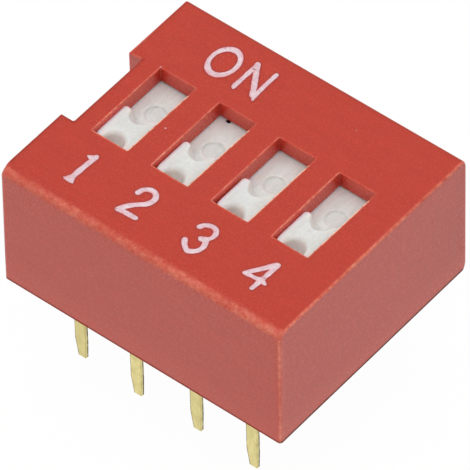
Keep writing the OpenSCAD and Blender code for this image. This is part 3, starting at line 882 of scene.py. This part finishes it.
def remap(tree, value, low, high, toLow=0.0, toHigh=1.0):
    made = addNode(tree, "ShaderNodeMapRange", {0: value, 1: low, 2: high, 3: toLow, 4: toHigh})
    return made.outputs[0]


# The usual range of noise or grain, 0.3 to 0.7, taken to low ... high
def spread(tree, value, low=0.0, high=1.0):
    return remap(tree, value, 0.3, 0.7, low, high)


def noise(tree, vector, scale, detail=2.0, roughness=0.5):
    values = {"Vector": vector, "Scale": scale, "Detail": detail, "Roughness": roughness}
    return addNode(tree, "ShaderNodeTexNoise", values).outputs[0]


# The place with each axis scaled, so that a pattern is drawn out where its scale is small
def drawnOut(tree, place, x=1.0, y=1.0, z=1.0):
    return addNode(tree, "ShaderNodeMapping", {"Vector": place, "Scale": (x, y, z)}).outputs[0]


# Inputs are given as label: value, and one whose value is None is a vector
def newGroup(name, inputs, outputs):
    tree = bpy.data.node_groups.new(name, "ShaderNodeTree")
    for label, value in inputs.items():
        kind = {float: "Float", tuple: "Color"}.get(type(value), "Vector")
        socket = tree.interface.new_socket(label, in_out="INPUT", socket_type="NodeSocket" + kind)
        if value is not None:
            socket.default_value = value
    for label, kind in outputs.items():
        tree.interface.new_socket(label, in_out="OUTPUT", socket_type="NodeSocket" + kind)
    entry = tree.nodes.new("NodeGroupInput")
    return tree, entry.outputs, tree.nodes.new("NodeGroupOutput")


# Grain of a moulded or rolled surface: fine and broad noise, as a tone about 0.5 and a height
def makeGrainGroup():
    tree, given, leave = newGroup(
        "surfaceGrain",
        {"Vector": None, "Fine Scale": 9000.0, "Broad Scale": 900.0, "Broad Share": 0.4},
        {"Tone": "Float", "Height": "Float"})
    fine = noise(tree, given["Vector"], given["Fine Scale"], 5.0, 0.6)
    broad = noise(tree, given["Vector"], given["Broad Scale"], 3.0)
    setInputs(tree, leave, {"Tone": mixValue(tree, given["Broad Share"], fine, broad),
                            "Height": fine})
    return tree


# Scattered specks: a mask that is 1 near the middle of a few Voronoi cells, the share of cells
# that have a speck being Density
def makeSpeckGroup():
    tree, given, leave = newGroup(
        "dustSpecks", {"Vector": None, "Scale": 3000.0, "Size": 0.2, "Density": 0.2},
        {"Mask": "Float"})
    cells = addNode(tree, "ShaderNodeTexVoronoi", {"Vector": given["Vector"],
                                                   "Scale": given["Scale"]})
    pick = addNode(tree, "ShaderNodeSeparateColor", {0: cells.outputs["Color"]})
    chosen = mathNode(tree, "LESS_THAN", pick.outputs[0], given["Density"])
    size = mathNode(tree, "MULTIPLY", given["Size"], pick.outputs[1])
    near = mathNode(tree, "LESS_THAN", cells.outputs["Distance"], size)
    setInputs(tree, leave, {"Mask": mathNode(tree, "MULTIPLY", chosen, near)})
    return tree


# Wear and painted highlight along edges: the edge weight broken up by noise, turned from the plain
# colour to the edge colour; a painted highlight on the cover and the sliders, wear on the ink and
# dark cut edges on the pins
def makeWearAndHighlightGroup():
    blank = (1.0, 1.0, 1.0, 1.0)
    tree, given, leave = newGroup(
        "edgeWearAndHighlight",
        {"Vector": None, "Color": blank, "Edge Color": blank, "Edge": 0.0, "Scale": 6000.0,
         "Amount": 0.5},
        {"Color": "Color", "Mask": "Float"})
    fine = noise(tree, given["Vector"], given["Scale"], 4.0, 0.65)
    patches = noise(tree, given["Vector"], 500.0)
    broken = mathNode(tree, "MULTIPLY", remap(tree, fine, 0.35, 0.68, 0.2, 1.3),
                      remap(tree, patches, 0.35, 0.65, 0.75, 1.25))
    wearAndHighlight = mathNode(tree, "MULTIPLY", broken, given["Edge"])
    mask = mathNode(tree, "MULTIPLY", wearAndHighlight, given["Amount"], True)
    setInputs(tree, leave, {"Color": mixColour(tree, mask, given["Color"], given["Edge Color"]),
                            "Mask": mask})
    return tree


surfaceGrain, dustSpecks, edgeWearAndHighlight = makeGrainGroup(), makeSpeckGroup(), makeWearAndHighlightGroup()


def useGroup(tree, group, values):
    return addNode(tree, "ShaderNodeGroup", values, node_tree=group).outputs


def grainOf(tree, vector, fine, broad, share):
    return useGroup(tree, surfaceGrain, {"Vector": vector, "Fine Scale": fine,
                                         "Broad Scale": broad, "Broad Share": share})


def wearAndHighlightOf(tree, place, body, wearAndHighlight, scale, amount):
    return useGroup(tree, edgeWearAndHighlight, {"Vector": place, "Color": body, "Edge Color": wearAndHighlight,
                                     "Edge": weightOf(tree, "edge"), "Scale": scale,
                                     "Amount": amount})


def newMaterial(name, **constants):
    material = bpy.data.materials.new(name)
    material.use_nodes = True
    tree = material.node_tree
    shader = tree.nodes["Principled BSDF"]
    for label, value in constants.items():
        shader.inputs[label].default_value = value
    place = tree.nodes.new("ShaderNodeTexCoord").outputs["Object"]
    return material, tree, shader, place


# Wires colour, roughness and a bump whose height is distance metres
def finishWith(tree, shader, colour, roughness, height, distance, strength=0.5):
    bump = addNode(tree, "ShaderNodeBump", {"Strength": strength, "Distance": distance,
                                            "Height": height})
    setInputs(tree, shader, {"Base Color": colour, "Roughness": roughness,
                             "Normal": bump.outputs["Normal"]})


def colourOf(r, g, b):
    value = np.array([r, g, b]) / 255
    linear = np.where(value <= 0.04045, value / 12.92, ((value + 0.055) / 1.055) ** 2.4)
    return (*linear.tolist(), 1.0)


def weightOf(tree, label):
    return addNode(tree, "ShaderNodeAttribute", attribute_name=label).outputs["Fac"]


# The tint weight turns a colour paler above 0 and darker below 0: painted light and painted shade
# on the cover and the sliders, the skirt and bare spots on the ink, dullness on the pins
def tinted(tree, body, pale, soil):
    tint = weightOf(tree, "tint")
    body = mixColour(tree, mathNode(tree, "MULTIPLY", tint, 1.0, True), body, pale)
    return mixColour(tree, mathNode(tree, "MULTIPLY", tint, -1.0, True), body, soil)


red = {
    "plain": colourOf(191, 53, 36),
    "deep": colourOf(178, 40, 27),
    # painted highlight on edges, a cream glint for the window's right rim, painted light, and
    # painted shade that also colours the end wall's flow streaks
    "wearAndHighlight": colourOf(240, 158, 134),
    "creamGlint": colourOf(252, 222, 190),
    "pale": colourOf(214, 84, 69),
    "soil": colourOf(72, 34, 28),
    "fleck": colourOf(246, 170, 140),
    "roughness": 0.25,
    "bump": 0.000005,
}


def redPlastic():
    material, tree, shader, place = newMaterial("redPlastic", **{
        "IOR": 1.47, "Specular Tint": (1.0, 1.0, 0.8, 1.0), "Subsurface Weight": 0.5,
        "Subsurface Radius": (1.0, 0.15, 0.1), "Subsurface Scale": 0.00025})
    grain = grainOf(tree, place, 16000.0, 1500.0, 0.3)
    # flow lines of the moulding: noise drawn out along X, and along Z on the end wall
    lines = noise(tree, drawnOut(tree, place, x=0.12), 7000.0, 3.0)
    ribs = noise(tree, drawnOut(tree, place, z=0.04), 5000.0, 1.0)
    parts = addNode(tree, "ShaderNodeSeparateXYZ", {0: place}).outputs
    atEnd = mathNode(tree, "MULTIPLY", remap(tree, parts[0], 0.00592, 0.00594),
                     remap(tree, parts[1], 0.0015, 0.0045))
    tone = mathNode(tree, "ADD", spread(tree, grain["Tone"], -0.35, 0.35),
                    spread(tree, lines, 0.3, 0.7))
    ribTone = mathNode(tree, "MULTIPLY", atEnd, remap(tree, ribs, 0.35, 0.65, -0.6, 0.6))
    body = mixColour(tree, mathNode(tree, "ADD", tone, ribTone, True), red["deep"], red["plain"])
    streak = mathNode(tree, "MULTIPLY", atEnd, remap(tree, ribs, 0.5, 0.66, 0.0, 0.22))
    body = mixColour(tree, streak, body, red["soil"])
    body = tinted(tree, body, red["pale"], red["soil"])
    specks = useGroup(tree, dustSpecks, {"Vector": place, "Scale": 2600.0, "Size": 0.12,
                                         "Density": 0.02})
    body = mixColour(tree, mathNode(tree, "MULTIPLY", specks["Mask"], 0.5), body, red["fleck"])
    # an edge weight above 1 turns the painted highlight into a cream glint, on the window's right
    # rim
    edgeHighlight = remap(tree, weightOf(tree, "edge"), 1.0, 1.4)
    edgeHighlight = mixColour(tree, edgeHighlight, red["wearAndHighlight"], red["creamGlint"])
    wearAndHighlight = wearAndHighlightOf(tree, place, body, edgeHighlight, 7000.0, 1.0)
    # where shade is painted (tint below 0) the surface is also rougher
    rough = spread(tree, grain["Height"], red["roughness"] - 0.05, red["roughness"] + 0.06)
    paintedShade = mathNode(tree, "MINIMUM", weightOf(tree, "tint"), 0.0)
    rough = mathNode(tree, "SUBTRACT", rough, paintedShade)
    finishWith(tree, shader, wearAndHighlight["Color"], rough, grain["Height"], red["bump"])
    return material


white = {
    "plain": colourOf(226, 228, 225),
    "shade": colourOf(203, 205, 202),
    # the next three are painted light, the painted highlight of the knob's edges and the painted
    # warm shade of the other end's notch, which is also used a little towards +X
    "pale": colourOf(246, 244, 242),
    "wearAndHighlight": colourOf(250, 208, 216),
    "soil": colourOf(200, 187, 160),
    "bump": 0.000006,
}


def whitePlastic():
    material, tree, shader, place = newMaterial("whitePlastic", **{
        "IOR": 1.5, "Subsurface Weight": 1.0, "Subsurface Radius": (1.0, 0.8, 0.65),
        "Subsurface Scale": 0.0004})
    grain = grainOf(tree, place, 12000.0, 1200.0, 0.4)
    # faint rubbing marks: noise drawn out along the knob's travel
    marks = noise(tree, drawnOut(tree, place, y=0.15), 9000.0)
    tone = mathNode(tree, "ADD", spread(tree, grain["Tone"], -0.1, 0.9),
                    spread(tree, marks, -0.1, 0.3), True)
    body = mixColour(tree, tone, white["shade"], white["plain"])
    # each slider is painted paler towards -X, a painted highlight, and a little darker and warmer
    # towards +X
    parts = addNode(tree, "ShaderNodeSeparateXYZ", {0: place})
    fromMiddle = mathNode(tree, "FLOORED_MODULO", parts.outputs[0], pitch * mm)
    for low, high, amount, colour in ((-0.45, -0.78, 0.7, "pale"), (0.25, 0.7, 0.15, "soil")):
        side = remap(tree, fromMiddle, (pitch / 2 + low) * mm, (pitch / 2 + high) * mm, 0.0, amount)
        body = mixColour(tree, side, body, white[colour])
    body = tinted(tree, body, white["pale"], white["soil"])
    wearAndHighlight = wearAndHighlightOf(tree, place, body, white["wearAndHighlight"], 8000.0, 1.3)
    rough = spread(tree, grain["Height"], 0.38, 0.48)
    finishWith(tree, shader, wearAndHighlight["Color"], rough, grain["Height"], white["bump"])
    return material


ink = {
    "plain": colourOf(230, 212, 218),
    "shade": colourOf(206, 166, 175),
    "pale": colourOf(234, 224, 230),
    "skirt": colourOf(156, 36, 32),
    "wearAndHighlight": colourOf(226, 150, 152),
    "bump": 0.000005,
}


def whiteInk():
    material, tree, shader, place = newMaterial("whiteInk", IOR=1.45)
    grain = grainOf(tree, place, 12000.0, 3000.0, 0.5)
    body = mixColour(tree, remap(tree, grain["Tone"], 0.35, 0.65), ink["shade"], ink["plain"])
    body = tinted(tree, body, ink["pale"], ink["skirt"])
    wearAndHighlight = wearAndHighlightOf(tree, place, body, ink["wearAndHighlight"], 9000.0, 0.8)
    rough = spread(tree, grain["Height"], 0.5, 0.65)
    finishWith(tree, shader, wearAndHighlight["Color"], rough, grain["Height"], ink["bump"], 0.4)
    return material


platings = {
    "palePlating": {"plain": colourOf(221, 208, 144), "shade": colourOf(190, 177, 117),
                    "cut": colourOf(96, 90, 62)},
    "contactPlating": {"plain": colourOf(224, 200, 128), "shade": colourOf(202, 176, 104),
                       "cut": colourOf(170, 160, 130)},
}


# Plated strip: rolled faces with clouds of dull and bright plating, and dull darker edges; the
# tint weight takes a whole strip towards the dull colour
def plating(name):
    tones = platings[name]
    material, tree, shader, place = newMaterial(name, IOR=1.5)
    grain = grainOf(tree, drawnOut(tree, place, z=0.5), 14000.0, 5000.0, 0.75)
    body = mixColour(tree, remap(tree, grain["Tone"], 0.36, 0.64), tones["shade"], tones["plain"])
    body = tinted(tree, body, tones["plain"], tones["shade"])
    wearAndHighlight = wearAndHighlightOf(tree, place, body, tones["cut"], 5000.0, 1.2)
    dull = mathNode(tree, "MULTIPLY", wearAndHighlight["Mask"], 0.8)
    metal = mathNode(tree, "SUBTRACT", spread(tree, grain["Tone"], 0.94, 1.0), dull, True)
    rough = mathNode(tree, "ADD", spread(tree, grain["Height"], 0.28, 0.42), dull, True)
    setInputs(tree, shader, {"Metallic": metal})
    finishWith(tree, shader, wearAndHighlight["Color"], rough, grain["Height"], 0.000002)
    return material


mouldings = {
    # light and dark tone, roughness, bump in metres and IOR
    "baseMoulding": (colourOf(44, 45, 48), colourOf(34, 35, 38), 0.5, 0.00001, 1.5),
    "sealResin": (colourOf(96, 74, 54), colourOf(76, 58, 42), 0.32, 0.00003, 1.5),
    "crumbDirt": (colourOf(9, 6, 6), colourOf(5, 4, 4), 0.8, 0.000002, 1.05),
}


def plainMoulding(name):
    light, dark, roughness, distance, ior = mouldings[name]
    material, tree, shader, place = newMaterial(name, IOR=ior)
    grain = grainOf(tree, place, 8000.0, 900.0, 0.5)
    body = mixColour(tree, spread(tree, grain["Tone"]), dark, light)
    rough = spread(tree, grain["Height"], roughness - 0.06, roughness + 0.06)
    finishWith(tree, shader, body, rough, grain["Height"], distance, 0.6)
    return material


def coat(pieces, material):
    for piece in pieces:
        piece.data.materials.clear()
        piece.data.materials.append(material)


coat([coverShell], redPlastic())
coat(sliders, whitePlastic())
coat(legendPieces, whiteInk())
coat(terminals, plating("palePlating"))
coat([dirtCrumb], plainMoulding("crumbDirt"))
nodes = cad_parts
coat([nodes["base"]], plainMoulding("baseMoulding"))
coat([nodes["seal"]], plainMoulding("sealResin"))
coat([nodes[f"moving_contact_{i}"] for i in range(1, 5)], plating("contactPlating"))
print("materials made")

floorFacts = {
    "size": 3000.0,
    "height": -3.6,
    "bounce": 0.8,             # how pale it is for the light that it throws back
    "shadow": 0.03,            # share of what is seen of it that takes shadow
    "mirrored": (1.28, 1.09),  # its brightness in reflections at -X, -Y and at +X, +Y
}


# 1 for a ray that shows the background: from the camera, in a reflection or through glass
def backgroundRay(tree):
    path = tree.nodes.new("ShaderNodeLightPath")
    direct = mathNode(tree, "MAXIMUM", path.outputs["Is Camera Ray"], path.outputs["Is Glossy Ray"])
    return mathNode(tree, "MAXIMUM", direct, path.outputs["Is Transmission Ray"])


def makeFloor():
    f = floorFacts
    half, z, share = f["size"] / 2 * mm, f["height"] * mm, f["shadow"]
    mesh = bpy.data.meshes.new("floor")
    corners = [(-half, -half, z), (half, -half, z), (half, half, z), (-half, half, z)]
    mesh.from_pydata(corners, [], [(0, 1, 2, 3)])
    floor = bpy.data.objects.new("floor", mesh)
    scene.collection.objects.link(floor)
    material, tree, plain, place = newMaterial("paleFloor", **{
        "Base Color": (f["bounce"],) * 3 + (1.0,), "Roughness": 0.9})
    # in reflections the floor is brighter towards -X and -Y, as if lit from that side
    parts = addNode(tree, "ShaderNodeSeparateXYZ", {0: place}).outputs
    across = mathNode(tree, "ADD", parts[0], parts[1])
    mirrored = remap(tree, across, -0.007, 0.007, *f["mirrored"])
    glossy = addNode(tree, "ShaderNodeLightPath").outputs["Is Glossy Ray"]
    seen = addNode(tree, "ShaderNodeBsdfPrincipled", {
        "Base Color": (share, share, share, 1.0), "Roughness": 1.0, "Specular IOR Level": 0.0,
        "Emission Color": (1.0, 1.0, 1.0, 1.0),
        "Emission Strength": mixValue(tree, glossy, 1 - share, mirrored)})
    mixed = addNode(tree, "ShaderNodeMixShader", {0: backgroundRay(tree), 1: plain.outputs[0],
                                                  2: seen.outputs[0]})
    setInputs(tree, tree.nodes["Material Output"], {"Surface": mixed.outputs[0]})
    mesh.materials.append(material)


makeFloor()

lights = {
    "sky": 0.59,
    "lamps": [
        # name, place in mm, size in mm, strength in W
        ("topLamp", (0.0, -20.0, 450.0), 900.0, 2.0),
    ],
}


# An object that looks from its place to the aim, upright but for a roll in degrees
def placeObject(name, data, place, aim, roll=0.0):
    made = bpy.data.objects.new(name, data)
    forward = (Vector(aim) - Vector(place)).normalized()
    turn = forward.to_track_quat("-Z", "Y").to_matrix()
    turn = turn @ Matrix.Rotation(math.radians(roll), 3, "Z")
    made.matrix_world = Matrix.Translation(Vector(place) * mm) @ turn.to_4x4()
    scene.collection.objects.link(made)
    return made


world = bpy.data.worlds.new("paleRoom")
world.use_nodes = True
room = world.node_tree
strength = remap(room, backgroundRay(room), 0, 1, lights["sky"], 1.0)
setInputs(room, room.nodes["Background"], {"Color": (1.0, 1.0, 1.0, 1.0), "Strength": strength})
scene.world = world
for name, place, size, power in lights["lamps"]:
    lamp = bpy.data.lights.new(name, "AREA")
    lamp.shape, lamp.size, lamp.energy = "DISK", size * mm, power
    placeObject(name, lamp, place, (0, 0, 0)).visible_glossy = False

cameraFacts = {
    "place": (117.4375, -138.4824, 205.3316),
    "aim": (0.1151, -0.0292, 1.9493),
    "roll": -1.6152,  # degrees
    "lens": 629.534,
    "sensor": 36.0,
}


def makeCamera():
    f = cameraFacts
    data = bpy.data.cameras.new("camera")
    data.lens, data.sensor_width = f["lens"], f["sensor"]
    data.clip_start, data.clip_end = 0.01, 20.0
    scene.camera = placeObject("camera", data, f["place"], f["aim"], f["roll"])


makeCamera()
scene.view_settings.view_transform = "Standard"
print("stage, lamps and camera made")
